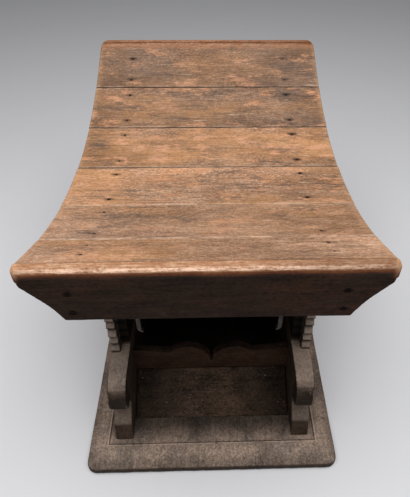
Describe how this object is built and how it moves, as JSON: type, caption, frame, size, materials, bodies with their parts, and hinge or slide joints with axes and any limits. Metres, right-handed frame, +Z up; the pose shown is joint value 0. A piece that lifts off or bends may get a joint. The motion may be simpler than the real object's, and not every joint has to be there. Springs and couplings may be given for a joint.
{
  "type": "wooden stool",
  "caption": "Plank-built stool with a hollowed seat nailed to scroll-sawn, toothed side boards that stand on a wide base board, tied by cusped rails and sloping boards.",
  "frame": {"origin": "middle of the base board's underside", "axes": "+Z up; -Y towards the front end board, which faces the viewer; +X to the right across the planks"},
  "size_m": [0.324, 0.53, 0.3411],
  "materials": {
    "seat_wood": "old worn hardwood, waxed by use",
    "dark_wood": "dark old wood, matt",
    "dusty_wood": "old wood grey with dust",
    "iron": "rusted wrought iron"
  },
  "bodies": {
    "root": {"seat_plank_1": "seat_wood", "seat_plank_2": "seat_wood", "seat_plank_3": "seat_wood", "seat_plank_4": "seat_wood", "seat_plank_5": "seat_wood", "seat_plank_6": "seat_wood", "front_end_board": "dark_wood", "front_rail": "dark_wood", "front_slope_board": "dark_wood", "rear_end_board": "dark_wood", "rear_rail": "dark_wood", "rear_slope_board": "dark_wood", "base_board": "dusty_wood", "side_board_left": "dusty_wood", "side_board_right": "dusty_wood", "iron_hook_left": "iron", "iron_hook_right": "iron", "seat_nail_left_1": "iron", "seat_nail_left_2": "iron", "seat_nail_left_3": "iron", "seat_nail_left_4": "iron", "seat_nail_left_5": "iron", "seat_nail_left_6": "iron", "seat_nail_left_7": "iron", "seat_nail_left_8": "iron", "seat_nail_left_9": "iron", "seat_nail_left_10": "iron", "seat_nail_left_11": "iron", "seat_nail_left_12": "iron", "seat_nail_right_1": "iron", "seat_nail_right_2": "iron", "seat_nail_right_3": "iron", "seat_nail_right_4": "iron", "seat_nail_right_5": "iron", "seat_nail_right_6": "iron", "seat_nail_right_7": "iron", "seat_nail_right_8": "iron", "seat_nail_right_9": "iron", "seat_nail_right_10": "iron", "seat_nail_right_11": "iron", "seat_nail_right_12": "iron", "end_nail_front_left_1": "iron", "end_nail_front_left_2": "iron", "end_nail_front_right_1": "iron", "end_nail_front_right_2": "iron", "end_nail_rear_left_1": "iron", "end_nail_rear_left_2": "iron", "end_nail_rear_right_1": "iron", "end_nail_rear_right_2": "iron", "base_nail_front_left": "iron", "base_nail_front_right": "iron", "base_nail_rear_left": "iron", "base_nail_rear_right": "iron"}
  },
  "joints": []
}
